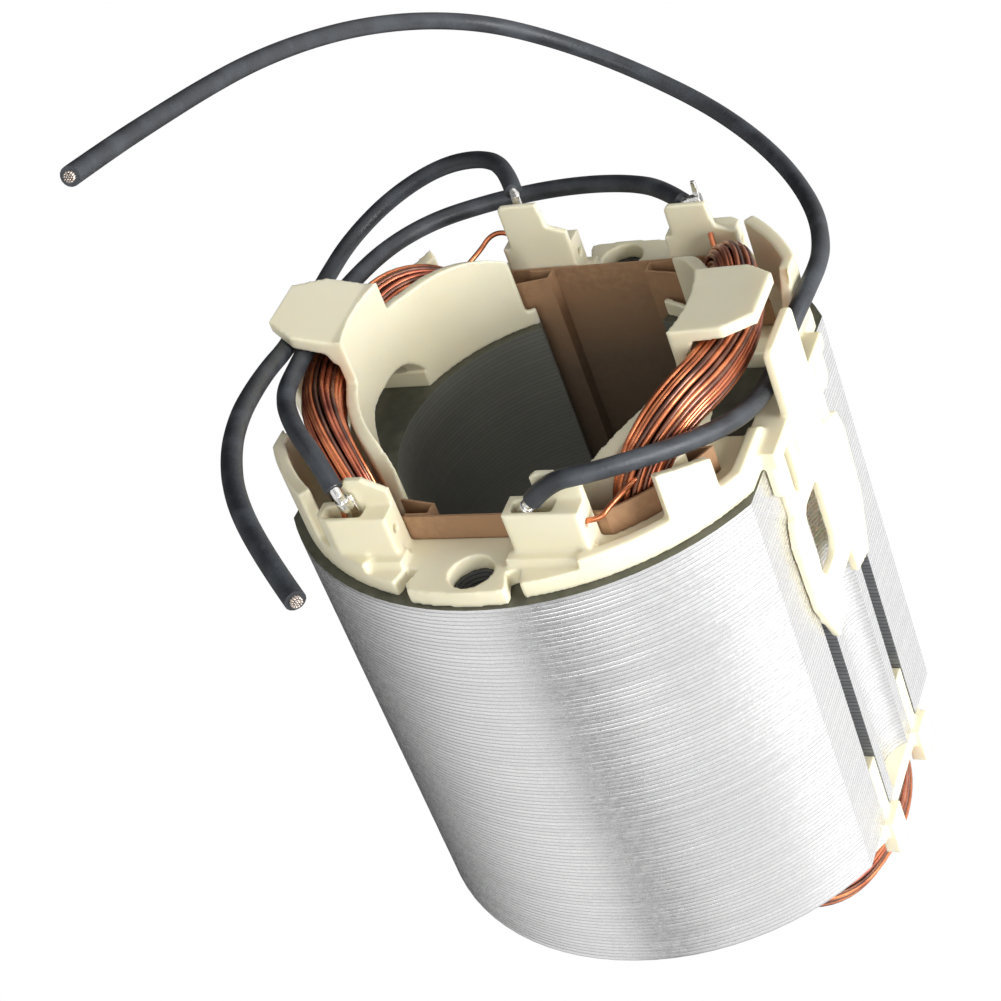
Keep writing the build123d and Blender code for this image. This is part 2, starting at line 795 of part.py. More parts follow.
# Routes of the leads, from the terminal to the far end
supply_route = [
    (7.4, -22.2, 68.3), (9.7, -22.1, 70.4), (13.3, -21.6, 70.7), (17.1, -18.6, 69.7),
    (20.4, -14.5, 68.1), (23.0, -9.6, 66.3), (24.1, -4.6, 65.0), (24.1, 0.4, 64.4),
    (24.3, 4.6, 65.1), (25.4, 10.0, 66.5), (25.1, 16.6, 65.6), (22.9, 23.9, 63.2),
    (20.2, 31.1, 61.4), (17.0, 37.4, 60.6), (13.0, 43.3, 60.7), (8.0, 48.6, 61.6),
    (2.2, 52.6, 63.5), (-4.2, 54.7, 66.5), (-10.2, 55.0, 70.2), (-15.8, 53.1, 74.7),
    (-20.0, 49.6, 78.9), (-23.5, 43.3, 83.5), (-25.3, 34.0, 88.6), (-25.6, 23.0, 93.6),
    (-24.9, 11.5, 98.2), (-23.6, 0.4, 102.1), (-22.1, -10.6, 105.7),
    (-20.7, -20.2, 108.8), (-19.5, -28.6, 111.3),
]
brush_route = [
    (-8.2, 22.3, 73.4), (-10.5, 26.6, 73.9), (-15.2, 30.5, 72.9), (-21.4, 31.9, 71.4),
    (-27.2, 29.4, 69.5), (-30.6, 23.9, 68.1), (-30.9, 17.4, 67.9), (-28.7, 10.8, 69.8),
    (-26.1, 4.2, 72.4), (-24.6, -3.4, 73.7), (-22.7, -10.4, 76.3), (-19.2, -18.8, 79.9),
    (-14.6, -28.0, 84.2), (-10.1, -36.9, 87.4), (-5.4, -45.0, 88.9),
    (0.2, -51.8, 88.6), (4.9, -56.4, 87.6),
]
jumper_route = [
    (10.1, 22.3, 70.3), (6.6, 25.8, 69.9), (1.9, 28.6, 69.1), (-3.8, 30.1, 68.5),
    (-9.6, 29.6, 68.5), (-14.9, 27.2, 69.0), (-19.2, 23.1, 70.1), (-21.9, 17.0, 71.3),
    (-22.9, 9.4, 72.4), (-22.8, 1.6, 73.35), (-22.3, -6.0, 73.4), (-21.2, -12.0, 74.1),
    (-18.0, -16.9, 73.9), (-14.7, -20.0, 72.4), (-12.8, -22.0, 70.3),
]

# Each contact: its housing, insets from the housing's end wall and block, side and depth,
# ear (end it stands at, width, height) and the foot of the stripped lead
save(contact(-left_housing_end, (1.2, 0.3), -1, 0.3, (1, 1.7, 8.6),
             (jumper_route[-1], jumper_route[-2]), (1.2, 0.45, 7.2)),
     "contact_front_left")
save(contact(-left_housing_end + housing_pitch, (1.1, 0.6), -1, 0.3, (-1, 2.3, 6.6),
             (supply_route[0], supply_route[1]), (0.6, 0.45, 6.3)),
     "contact_front_right")
save(contact(rear_housing_starts[1], (1.5, 0.2), 1, 1.35, (1, 1.5, 12.2),
             (jumper_route[0], jumper_route[1]), (0.3, -0.3, 10.1)),
     "contact_back_right")
save(contact(rear_housing_starts[0], (1.6, 0.4), 1, 0.3, (-1, 1.6, 8.8),
             (brush_route[0], brush_route[1]), (1.0, 0.65, 7.6)),
     "contact_back_left")


def bend_radii(points, name):
    """Largest tangent bends that leave a tenth of every run straight."""
    radii = []
    for before, here, after in zip(points, points[1:], points[2:]):
        first = Vector(*here) - Vector(*before)
        second = Vector(*after) - Vector(*here)
        half_turn = radians(first.get_angle(second)) / 2
        radii.append(0.45 * min(first.length, second.length) / tan(half_turn))
    print(name, "bend radii", [round(r, 1) for r in radii])
    return radii


def lead(points, name, cut_end):
    insulation = round_wire(points, bend_radii(points, name), lead_diameter)
    if not cut_end:
        save(insulation, name)
        return
    end = Vector(*points[-1])
    outwards = (end - Vector(*points[-2])).normalized()
    with BuildPart() as core:
        with BuildSketch(Plane(origin=end - outwards * core_depth, z_dir=outwards)):
            Circle(conductor_diameter / 2)
        extrude(amount=core_depth + core_proud)
    with BuildPart() as sleeve:
        add(insulation)
        add(core.part, mode=Mode.SUBTRACT)
    save(sleeve.part, name)
    save(core.part, name + "_core")


lead(supply_route, "supply_lead", True)
lead(brush_route, "brush_lead", True)
lead(jumper_route, "jumper_lead", False)
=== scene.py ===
import bpy
import bmesh
import math
import random
from mathutils import Matrix, Vector


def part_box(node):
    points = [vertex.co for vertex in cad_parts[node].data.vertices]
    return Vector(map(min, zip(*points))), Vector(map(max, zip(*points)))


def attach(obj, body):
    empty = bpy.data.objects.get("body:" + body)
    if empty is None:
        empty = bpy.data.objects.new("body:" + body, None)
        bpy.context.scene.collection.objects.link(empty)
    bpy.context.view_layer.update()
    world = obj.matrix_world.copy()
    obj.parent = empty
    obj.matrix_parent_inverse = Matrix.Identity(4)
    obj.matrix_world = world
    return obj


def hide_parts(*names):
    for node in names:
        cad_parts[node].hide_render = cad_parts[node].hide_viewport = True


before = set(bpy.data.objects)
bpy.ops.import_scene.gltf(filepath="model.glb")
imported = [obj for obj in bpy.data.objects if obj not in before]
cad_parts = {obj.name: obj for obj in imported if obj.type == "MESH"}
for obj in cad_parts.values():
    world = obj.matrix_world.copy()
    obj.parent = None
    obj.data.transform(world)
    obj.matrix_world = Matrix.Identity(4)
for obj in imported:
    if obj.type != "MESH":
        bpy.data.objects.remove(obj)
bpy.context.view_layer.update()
collection = bpy.context.scene.collection

# Camera: a long lens held close, looking down on the terminal end, with the
# frame turned so that the stack leans to the left in the picture.
camera_data = bpy.data.cameras.new("camera")
camera_data.sensor_width = 36.0
camera_data.lens = 91.41
camera_data.clip_start = 0.01
camera = bpy.data.objects.new("camera", camera_data)
collection.objects.link(camera)
camera_right = Vector((0.89731, 0.31581, -0.30838))
camera_up = Vector((0.02906, 0.65486, 0.75519))
camera_back = Vector((0.44044, -0.6866, 0.57843))
camera_turn = Matrix((camera_right, camera_up, camera_back)).transposed()
camera.matrix_world = (
    Matrix.Translation((0.107497, -0.183195, 0.204034)) @ camera_turn.to_4x4()
)
bpy.context.scene.camera = camera

# Black leads: stranded copper under extruded rubber, 1.9 mm thick. Two end cut
# off square, and the third joins two terminals round the outside of the left coil.
lead_diameter = 0.0019
lead_colour = (0.020, 0.023, 0.028)
lead_worn_colour = (0.055, 0.062, 0.072)

cloud = bpy.data.node_groups.new("cloud_mask", "ShaderNodeTree")
for label in ("Scale", "Detail", "Low", "High"):
    cloud.interface.new_socket(label, in_out="INPUT", socket_type="NodeSocketFloat")
cloud.interface.new_socket("Mask", in_out="OUTPUT", socket_type="NodeSocketFloat")
cloud_in = cloud.nodes.new("NodeGroupInput")
cloud_out = cloud.nodes.new("NodeGroupOutput")
cloud_place = cloud.nodes.new("ShaderNodeTexCoord")
cloud_noise = cloud.nodes.new("ShaderNodeTexNoise")
cloud_range = cloud.nodes.new("ShaderNodeMapRange")
cloud.links.new(cloud_place.outputs["Object"], cloud_noise.inputs["Vector"])
cloud.links.new(cloud_in.outputs["Scale"], cloud_noise.inputs["Scale"])
cloud.links.new(cloud_in.outputs["Detail"], cloud_noise.inputs["Detail"])
cloud.links.new(cloud_noise.outputs["Fac"], cloud_range.inputs["Value"])
cloud.links.new(cloud_in.outputs["Low"], cloud_range.inputs["From Min"])
cloud.links.new(cloud_in.outputs["High"], cloud_range.inputs["From Max"])
cloud.links.new(cloud_range.outputs["Result"], cloud_out.inputs["Mask"])


def new_finish(name, metallic, roughness):
    """Material with its shader, ready for the textures of one finish."""
    finish = bpy.data.materials.new(name)
    finish.use_nodes = True
    shader = finish.node_tree.nodes["Principled BSDF"]
    shader.inputs["Metallic"].default_value = metallic
    shader.inputs["Roughness"].default_value = roughness
    return finish, finish.node_tree, shader


def add_cloud(tree, scale, detail, low, high):
    """Cloudy mask at one scale (features per metre), stretched between two levels."""
    node = tree.nodes.new("ShaderNodeGroup")
    node.node_tree = cloud
    for label, value in (("Scale", scale), ("Detail", detail), ("Low", low), ("High", high)):
        node.inputs[label].default_value = value
    return node.outputs["Mask"]


# Colour sockets of the mix node, which has others of the same names
colour_a, colour_b, colour_result = 6, 7, 2


def add_mix(tree, mask, first, second):
    """Colour between two colours, or two colour sockets, by a mask."""
    node = tree.nodes.new("ShaderNodeMix")
    node.data_type = "RGBA"
    tree.links.new(mask, node.inputs["Factor"])
    for socket, colour in ((node.inputs[colour_a], first), (node.inputs[colour_b], second)):
        if isinstance(colour, tuple):
            socket.default_value = (*colour, 1.0)
        else:
            tree.links.new(colour, socket)
    return node.outputs[colour_result]


def add_range(tree, mask, low, high):
    """Plain number between two values by a mask."""
    node = tree.nodes.new("ShaderNodeMapRange")
    tree.links.new(mask, node.inputs["Value"])
    node.inputs["To Min"].default_value = low
    node.inputs["To Max"].default_value = high
    return node.outputs["Result"]


def add_bump(tree, shader, height, distance, strength):
    """Fine relief on the surface, its depth in metres."""
    node = tree.nodes.new("ShaderNodeBump")
    node.inputs["Distance"].default_value = distance
    node.inputs["Strength"].default_value = strength
    tree.links.new(height, node.inputs["Height"])
    tree.links.new(node.outputs["Normal"], shader.inputs["Normal"])


rubber, tree, shader = new_finish("lead_rubber", 0.0, 0.5)
scuffs = add_cloud(tree, 260.0, 4.0, 0.45, 0.75)
tree.links.new(add_mix(tree, scuffs, lead_colour, lead_worn_colour), shader.inputs["Base Color"])
tree.links.new(add_range(tree, scuffs, 0.42, 0.62), shader.inputs["Roughness"])
add_bump(tree, shader, add_cloud(tree, 2600.0, 3.0, 0.3, 0.7), 0.00004, 0.5)

lead_routes = {
    "supply_lead": [
        (0.0074, -0.0222, 0.0683), (0.0097, -0.0221, 0.0704), (0.0133, -0.0216, 0.0707),
        (0.0171, -0.0186, 0.0697), (0.0204, -0.0145, 0.0681), (0.0230, -0.0096, 0.0663),
        (0.0241, -0.0046, 0.0650), (0.0241, 0.0004, 0.0644), (0.0243, 0.0046, 0.0651),
        (0.0254, 0.0100, 0.0665), (0.0251, 0.0166, 0.0656), (0.0229, 0.0239, 0.0632),
        (0.0202, 0.0311, 0.0614), (0.0170, 0.0374, 0.0606), (0.0130, 0.0433, 0.0607),
        (0.0080, 0.0486, 0.0616), (0.0022, 0.0526, 0.0635), (-0.0042, 0.0547, 0.0665),
        (-0.0102, 0.0550, 0.0702), (-0.0158, 0.0531, 0.0747), (-0.0200, 0.0496, 0.0789),
        (-0.0235, 0.0433, 0.0835), (-0.0253, 0.0340, 0.0886), (-0.0256, 0.0230, 0.0936),
        (-0.0249, 0.0115, 0.0982), (-0.0236, 0.0004, 0.1021), (-0.0221, -0.0106, 0.1057),
        (-0.0207, -0.0202, 0.1088), (-0.0195, -0.0286, 0.1113),
    ],
    "brush_lead": [
        (-0.0082, 0.0223, 0.0734), (-0.0105, 0.0266, 0.0739), (-0.0152, 0.0305, 0.0729),
        (-0.0214, 0.0319, 0.0714), (-0.0272, 0.0294, 0.0695), (-0.0306, 0.0239, 0.0681),
        (-0.0309, 0.0174, 0.0679), (-0.0287, 0.0108, 0.0698), (-0.0261, 0.0042, 0.0724),
        (-0.0246, -0.0034, 0.0737), (-0.0227, -0.0104, 0.0763), (-0.0192, -0.0188, 0.0799),
        (-0.0146, -0.0280, 0.0842), (-0.0101, -0.0369, 0.0874), (-0.0054, -0.0450, 0.0889),
        (0.0002, -0.0518, 0.0886), (0.0049, -0.0564, 0.0876),
    ],
    "jumper_lead": [
        (0.0101, 0.0223, 0.0703), (0.0066, 0.0258, 0.0699), (0.0019, 0.0286, 0.0691),
        (-0.0038, 0.0301, 0.0685), (-0.0096, 0.0296, 0.0685), (-0.0149, 0.0272, 0.0690),
        (-0.0192, 0.0231, 0.0701), (-0.0219, 0.0170, 0.0713), (-0.0229, 0.0094, 0.0724),
        (-0.0228, 0.0016, 0.07335), (-0.0223, -0.0060, 0.0734), (-0.0212, -0.0120, 0.0741),
        (-0.0180, -0.0169, 0.0739), (-0.0147, -0.0200, 0.0724), (-0.0128, -0.0220, 0.0703),
    ],
}


def lay_wire(name, points, diameter, finish):
    """Round wire on one smooth spline through listed control points."""
    curve = bpy.data.curves.new(name, "CURVE")
    curve.dimensions = "3D"
    curve.bevel_depth = diameter / 2
    curve.bevel_resolution = 6
    curve.use_fill_caps = True
    curve.resolution_u = 10
    spline = curve.splines.new("NURBS")
    spline.points.add(len(points) - 1)
    for place, point in zip(spline.points, points):
        place.co = (*point, 1.0)
    spline.order_u = 3
    spline.use_endpoint_u = True
    wire = bpy.data.objects.new(name, curve)
    collection.objects.link(wire)
    curve.materials.append(finish)
    return wire


# Cut lead ends: nineteen fine tinned strands twisted together, all of one length
# and standing a little proud of the square cut of the insulation.
strand_metal, tree, shader = new_finish("conductor_strands", 1.0, 0.4)
dulled = add_cloud(tree, 3000.0, 2.0, 0.35, 0.65)
tree.links.new(add_mix(tree, dulled, (0.30, 0.27, 0.25), (0.55, 0.47, 0.41)),
               shader.inputs["Base Color"])
strand_diameter = 0.00021
strand_proud = 0.00036
strand_depth = 0.0028
strand_twist = 500
strand_steps = 4
strand_sides = 8
strand_rings = ((0.0, 1), (0.00022, 6), (0.00043, 12))


def mesh_piece(name, vertices, faces, finishes, tones=None):
    """Mesh object from plain lists, with one material number per face."""
    mesh = bpy.data.meshes.new(name)
    mesh.from_pydata(vertices, [], faces)
    for finish in finishes:
        mesh.materials.append(finish)
    if tones is not None:
        mesh.polygons.foreach_set("material_index", tones)
    mesh.polygons.foreach_set("use_smooth", [True] * len(mesh.polygons))
    mesh.validate()
    mesh.update()
    piece = bpy.data.objects.new(name, mesh)
    collection.objects.link(piece)
    return piece


def add_tube(vertices, faces, points, radius, sides, closed=False):
    """Round tube of quads along a list of points, its sides kept from twisting."""
    count = len(points)
    start = len(vertices)
    turned = None
    for k, point in enumerate(points):
        if closed:
            along = points[(k + 1) % count] - points[k - 1]
        else:
            along = points[min(k + 1, count - 1)] - points[max(k - 1, 0)]
        along.normalize()
        if turned is None:
            turned = along.orthogonal().normalized()
        turned = (turned - along * turned.dot(along)).normalized()
        other = along.cross(turned)
        for j in range(sides):
            angle = 2 * math.pi * j / sides
            offset = turned * math.cos(angle) + other * math.sin(angle)
            vertices.append(tuple(point + offset * radius))
    rings = count if closed else count - 1
    for k in range(rings):
        here = start + k * sides
        there = start + ((k + 1) % count) * sides
        for j in range(sides):
            nxt = (j + 1) % sides
            faces.append((here + j, here + nxt, there + nxt, there + j))
    if not closed:
        faces.append(tuple(start + j for j in reversed(range(sides))))
        faces.append(tuple(start + (count - 1) * sides + j for j in range(sides)))


for name in ("supply_lead", "brush_lead"):
    points = [Vector(p) for p in lead_routes[name]]
    outward = (points[-1] - points[-2]).normalized()
    across = outward.orthogonal().normalized()
    other = outward.cross(across)
    tip = points[-1] + outward * strand_proud
    vertices, faces = [], []
    for ring, number in strand_rings:
        for j in range(number):
            path = []
            for step in range(strand_steps + 1):
                back = strand_depth * step / strand_steps
                angle = 2 * math.pi * j / number + back * strand_twist
                path.append(tip - outward * back
                            + (across * math.cos(angle) + other * math.sin(angle)) * ring)
            add_tube(vertices, faces, path, strand_diameter / 2, strand_sides)
    strands = mesh_piece(name + "_strands", vertices, faces, [strand_metal])
    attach(strands, "root")
    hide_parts(name + "_core")
    wire = lay_wire(name + "_rubber", lead_routes[name], lead_diameter, rubber)
    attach(wire, "root")
    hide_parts(name)

jumper = lay_wire("jumper_lead_rubber", lead_routes["jumper_lead"], lead_diameter, rubber)
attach(jumper, "root")
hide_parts("jumper_lead")

# Lamination stack: a hundred punched sheets of coated steel, 0.5 mm thick. The
# outside is bright from handling and the end faces keep their coat; the bore and
# the slot walls are the same steel coloured darker, as painted shade.
sheet_pitch = 0.0005
sheet_gap_depth = 0.000028
sheet_edge = 0.00006
sheet_shuffle = 0.000008
bore_relief = 0.15
outline_tolerance = 0.000030
crease_angle = 28
weld_distance = 1e-6

# Where each kind of sheet edge lies, by distance from the axis and from the middle
round_face_radius = 0.0280
flat_face_depth = 0.02455
bore_face_radius = 0.01712
groove_floor_depth = 0.0222
groove_half_width = 0.0037
bright_kind, bore_kind, slot_kind, end_kind = 0, 1, 2, 3

sheets = bpy.data.node_groups.new("sheet_lines", "ShaderNodeTree")
sheets.interface.new_socket("Pitch", in_out="INPUT", socket_type="NodeSocketFloat")
sheets.interface.new_socket("Tone", in_out="OUTPUT", socket_type="NodeSocketFloat")
sheets.interface.new_socket("Gap", in_out="OUTPUT", socket_type="NodeSocketFloat")


def add_math(tree, operation, *values):
    """One sum on numbers, or on sockets that give them."""
    node = tree.nodes.new("ShaderNodeMath")
    node.operation = operation
    for socket, value in zip(node.inputs, values):
        if isinstance(value, float):
            socket.default_value = value
        else:
            tree.links.new(value, socket)
    return node.outputs[0]


sheets_in = sheets.nodes.new("NodeGroupInput")
sheets_out = sheets.nodes.new("NodeGroupOutput")
sheets_place = sheets.nodes.new("ShaderNodeTexCoord")
sheets_split = sheets.nodes.new("ShaderNodeSeparateXYZ")
sheets_random = sheets.nodes.new("ShaderNodeTexWhiteNoise")
sheets_random.noise_dimensions = "1D"
sheets_line = sheets.nodes.new("ShaderNodeMapRange")
sheets_line.inputs["From Min"].default_value = 0.17
sheets_line.inputs["From Max"].default_value = 0.06
sheets.links.new(sheets_place.outputs["Object"], sheets_split.inputs["Vector"])
sheets_count = add_math(sheets, "DIVIDE", sheets_split.outputs["Z"], sheets_in.outputs["Pitch"])
sheets_part = add_math(sheets, "FRACT", sheets_count)
sheets.links.new(add_math(sheets, "FLOOR", sheets_count), sheets_random.inputs["W"])
sheets.links.new(add_math(sheets, "PINGPONG", sheets_part, 0.5), sheets_line.inputs["Value"])
sheets.links.new(sheets_random.outputs["Value"], sheets_out.inputs["Tone"])
sheets.links.new(sheets_line.outputs["Result"], sheets_out.inputs["Gap"])


def sheet_finish(name, dark, light, gap, metallic, roughness, anisotropy):
    """Steel sheet edges: tone by sheet, soft clouds and a dark line at each joint."""
    finish, tree, shader = new_finish(name, metallic, roughness)
    lines = tree.nodes.new("ShaderNodeGroup")
    lines.node_tree = sheets
    lines.inputs["Pitch"].default_value = sheet_pitch
    clouds = add_cloud(tree, 60.0, 2.0, 0.3, 0.7)
    fine = add_cloud(tree, 1400.0, 3.0, 0.3, 0.7)
    half_tone = add_math(tree, "MULTIPLY", lines.outputs["Tone"], 0.5)
    edge = add_mix(tree, add_math(tree, "MULTIPLY_ADD", clouds, 0.5, half_tone), dark, light)
    tree.links.new(add_mix(tree, lines.outputs["Gap"], edge, gap), shader.inputs["Base Color"])
    tree.links.new(add_range(tree, fine, roughness - 0.06, roughness + 0.08),
                   shader.inputs["Roughness"])
    shader.inputs["Anisotropic"].default_value = anisotropy
    shader.inputs["Anisotropic Rotation"].default_value = 0.25
    add_bump(tree, shader, fine, 0.000003, 0.5)
    return finish


bright_edges = sheet_finish("bright_sheet_edges", (0.68, 0.68, 0.68), (0.80, 0.80, 0.795),
                            (0.50, 0.50, 0.505), 0.85, 0.26, 0.15)
# Bore edges: the same steel as the outside, coloured dark grey as painted shade.
bore_shaded_edges = sheet_finish("bore_sheet_edges_painted_shade", (0.205, 0.208, 0.182), (0.235, 0.238, 0.210),
                          (0.175, 0.178, 0.155), 0.5, 0.5, 0.2)
# Slot walls: the same steel, coloured darker as painted shade in the recesses.
slot_shaded_edges = sheet_finish("slot_sheet_edges_painted_shade", (0.24, 0.245, 0.25), (0.34, 0.345, 0.35),
                          (0.12, 0.12, 0.125), 0.5, 0.5, 0.0)
end_sheet, tree, shader = new_finish("coated_end_sheet", 0.25, 0.5)
mottle = add_cloud(tree, 700.0, 6.0, 0.35, 0.7)
tree.links.new(add_mix(tree, mottle, (0.075, 0.077, 0.055), (0.125, 0.125, 0.095)),
               shader.inputs["Base Color"])
tree.links.new(add_range(tree, mottle, 0.42, 0.6), shader.inputs["Roughness"])
add_bump(tree, shader, add_cloud(tree, 5200.0, 3.0, 0.3, 0.7), 0.00002, 0.5)

stack_low, stack_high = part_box("lamination_stack")
above_middle = 0.0001
cut_height = (stack_low.z + stack_high.z) / 2 + above_middle
cut = bmesh.new()
cut.from_mesh(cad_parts["lamination_stack"].data)
bmesh.ops.remove_doubles(cut, verts=cut.verts, dist=weld_distance)
bmesh.ops.bisect_plane(
    cut, geom=cut.verts[:] + cut.edges[:] + cut.faces[:], dist=1e-7,
    plane_co=(0, 0, cut_height), plane_no=(0, 0, 1),
    clear_inner=True, clear_outer=True,
)
outlines = []
left = set(cut.verts)
while left:
    first = min(left, key=lambda v: (round(v.co.x, 6), round(v.co.y, 6)))
    loop, here = [], first
    while here is not None and here in left:
        left.discard(here)
        loop.append((here.co.x, here.co.y))
        onward = [e.other_vert(here) for e in here.link_edges]
        onward = [v for v in onward if v in left]
        here = onward[0] if onward else None
    outlines.append(loop)
cut.free()


def loop_area(loop):
    """Signed area of a closed outline."""
    total = 0.0
    for (ax, ay), (bx, by) in zip(loop, loop[1:] + loop[:1]):
        total += ax * by - bx * ay
    return total / 2


def thin_loop(loop):
    """Outline without the points that lie within the tolerance of a straight edge."""
    kept = [0]
    while kept[-1] < len(loop):
        first = kept[-1]
        last = first + 1
        while last < len(loop):
            ax, ay = loop[first]
            bx, by = loop[(last + 1) % len(loop)]
            span = math.hypot(bx - ax, by - ay)
            between = loop[first + 1:last + 1]
            off = [abs((x - ax) * (by - ay) - (y - ay) * (bx - ax)) for x, y in between]
            if max(off) > outline_tolerance * span:
                break
            last += 1
        kept.append(last)
    return [loop[k] for k in kept[:-1]]


outlines = [thin_loop(loop) for loop in outlines]
outlines.sort(key=lambda loop: -abs(loop_area(loop)))
for number, loop in enumerate(outlines):
    if (loop_area(loop) > 0) != (number == 0):
        loop.reverse()

shuffle = random.Random(4)
levels = []
sheet_count = round((stack_high.z - stack_low.z) / sheet_pitch)
for k in range(sheet_count):
    z = stack_low.z + k * sheet_pitch
    shift = shuffle.random() * sheet_shuffle
    if k > 0:
        levels.append((z, sheet_gap_depth))
    levels.append((z + (0.0 if k == 0 else sheet_edge), shift))
    levels.append((z + sheet_pitch - (0.0 if k == sheet_count - 1 else sheet_edge), shift))

vertices, faces, tones = [], [], []
end_rings = []
for loop in outlines:
    count = len(loop)
    inward = []
    for k, (x, y) in enumerate(loop):
        ax, ay = loop[k - 1]
        bx, by = loop[(k + 1) % count]
        first = Vector((x - ax, y - ay)).normalized()
        second = Vector((bx - x, by - y)).normalized()
        along = (first + second).normalized()
        share = bore_relief if math.hypot(x, y) < bore_face_radius else 1.0
        inward.append(Vector((-along.y, along.x)) * share)
    start = len(vertices)
    for z, inset in levels:
        for (x, y), n in zip(loop, inward):
            vertices.append((x + n.x * inset, y + n.y * inset, z))
    kinds = []
    for k, (x, y) in enumerate(loop):
        bx, by = loop[(k + 1) % count]
        mx, my = (x + bx) / 2, (y + by) / 2
        if math.hypot(mx, my) > round_face_radius or abs(mx) > flat_face_depth:
            kinds.append(bright_kind)
        elif math.hypot(mx, my) < bore_face_radius:
            kinds.append(bore_kind)
        elif abs(mx) > groove_floor_depth and abs(my) < groove_half_width:
            kinds.append(bright_kind)
        else:
            kinds.append(slot_kind)
    for level in range(len(levels) - 1):
        for k in range(count):
            nxt = (k + 1) % count
            low = start + level * count
            faces.append((low + k, low + nxt, low + count + nxt, low + count + k))
            tones.append(kinds[k])
    end_rings.append((start, count))

stack = mesh_piece("punched_steel_stack", vertices, faces,
                   [bright_edges, bore_shaded_edges, slot_shaded_edges, end_sheet], tones)
caps = bmesh.new()
caps.from_mesh(stack.data)
caps.verts.ensure_lookup_table()
for level in (0, len(levels) - 1):
    rim = []
    for start, count in end_rings:
        low = start + level * count
        for k in range(count):
            pair = (caps.verts[low + k], caps.verts[low + (k + 1) % count])
            rim.append(caps.edges.get(pair))
    filled = bmesh.ops.triangle_fill(caps, edges=rim, use_beauty=True)
    for face in filled["geom"]:
        if isinstance(face, bmesh.types.BMFace):
            face.material_index = end_kind
            face.smooth = True
bmesh.ops.recalc_face_normals(caps, faces=caps.faces[:])
caps.to_mesh(stack.data)
caps.free()
stack.data.set_sharp_from_angle(angle=math.radians(crease_angle))
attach(stack, "root")
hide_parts("lamination_stack")

# End frames: one-piece nylon mouldings pushed on each end of the stack. Their
# edges are rounded as they come from the mould, and thin parts glow a little.
mould_voxel = 0.00020
mould_smoothing = 4
mould_share = 0.34

nylon, tree, shader = new_finish("cream_nylon", 0.0, 0.33)
tint = add_cloud(tree, 60.0, 3.0, 0.3, 0.7)
tree.links.new(add_mix(tree, tint, (0.80, 0.735, 0.52), (0.86, 0.81, 0.625)),
               shader.inputs["Base Color"])
flow = add_cloud(tree, 900.0, 4.0, 0.3, 0.7)
tree.links.new(add_range(tree, flow, 0.28, 0.42), shader.inputs["Roughness"])
add_bump(tree, shader, flow, 0.00002, 0.35)
shader.inputs["Subsurface Weight"].default_value = 0.3
shader.inputs["Subsurface Radius"].default_value = (1.0, 0.75, 0.4)
shader.inputs["Subsurface Scale"].default_value = 0.0012


def moulded_frame(name, node):
    """Soft-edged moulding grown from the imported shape."""
    shape = bmesh.new()
    shape.from_mesh(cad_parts[node].data)
    bmesh.ops.remove_doubles(shape, verts=shape.verts, dist=weld_distance)
    rough = bpy.data.meshes.new(name + "_rough")
    shape.to_mesh(rough)
    shape.free()
    blank = bpy.data.objects.new(name + "_rough", rough)
    collection.objects.link(blank)
    remesh = blank.modifiers.new("remesh", "REMESH")
    remesh.mode = "VOXEL"
    remesh.voxel_size = mould_voxel
    remesh.use_smooth_shade = True
    smooth = blank.modifiers.new("smooth", "SMOOTH")
    smooth.factor = 0.5
    smooth.iterations = mould_smoothing
    lighten = blank.modifiers.new("lighten", "DECIMATE")
    lighten.ratio = mould_share
    made = blank.evaluated_get(bpy.context.evaluated_depsgraph_get())
    mesh = bpy.data.meshes.new_from_object(made)
    mesh.name = name
    bpy.data.objects.remove(blank)
    bpy.data.meshes.remove(rough)
    mesh.materials.clear()
    mesh.materials.append(nylon)
    piece = bpy.data.objects.new(name, mesh)
    collection.objects.link(piece)
    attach(piece, "root")
    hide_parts(node)


moulded_frame("terminal_end_moulding", "upper_end_frame")
moulded_frame("plain_end_moulding", "lower_end_frame")

# Field coils: a few hundred turns of 0.55 mm enamelled wire each, wound on a
# former and pushed into the slots, so the outer turns wander and cross.
wire_diameter = 0.00055
coil_radius = 0.0216
leg_angle = math.radians(48.6)
leg_radial = 0.0037
leg_width = 0.0048
end_radial = 0.0042
upper_end_depth = 0.0056
lower_end_depth = 0.0052
upper_end_z = 0.0696
lower_end_z = 0.0038
upper_corner = 0.0093
lower_corner = 0.0106
leg_middle_z = 0.0354
leg_steps = 14
corner_steps = 16
end_steps = 6
strands_round = 27
strands_fewer_inside = 6
layer_depth = 0.00045
layer_scatter = 0.00012
turn_drift = 0.035
turn_lift = 0.00005
whole_turn = 6.283
bundle_squareness = 3.0
bundle_steps = 720
turn_sides = 7


def copper_finish(name, deep, glow):
    """Varnished wire: metal under a clear enamel, darker where the varnish pooled."""
    finish, tree, shader = new_finish(name, 0.85, 0.3)
    pooled = add_cloud(tree, 420.0, 3.0, 0.35, 0.7)
    tree.links.new(add_mix(tree, pooled, glow, deep), shader.inputs["Base Color"])
    tree.links.new(add_range(tree, pooled, 0.24, 0.4), shader.inputs["Roughness"])
    shader.inputs["Coat Weight"].default_value = 0.35
    shader.inputs["Coat Roughness"].default_value = 0.2
    return finish


copper_tones = [
    copper_finish("orange_enamel", (0.34, 0.085, 0.035), (0.74, 0.245, 0.10)),
    copper_finish("red_enamel", (0.20, 0.045, 0.025), (0.50, 0.145, 0.07)),
    copper_finish("brown_enamel", (0.07, 0.03, 0.022), (0.22, 0.095, 0.06)),
    # Near-black tone for the inner layer: painted shade in the gaps between the outer turns.
    copper_finish("inner_layer_painted_shade", (0.012, 0.006, 0.005), (0.05, 0.022, 0.014)),
]


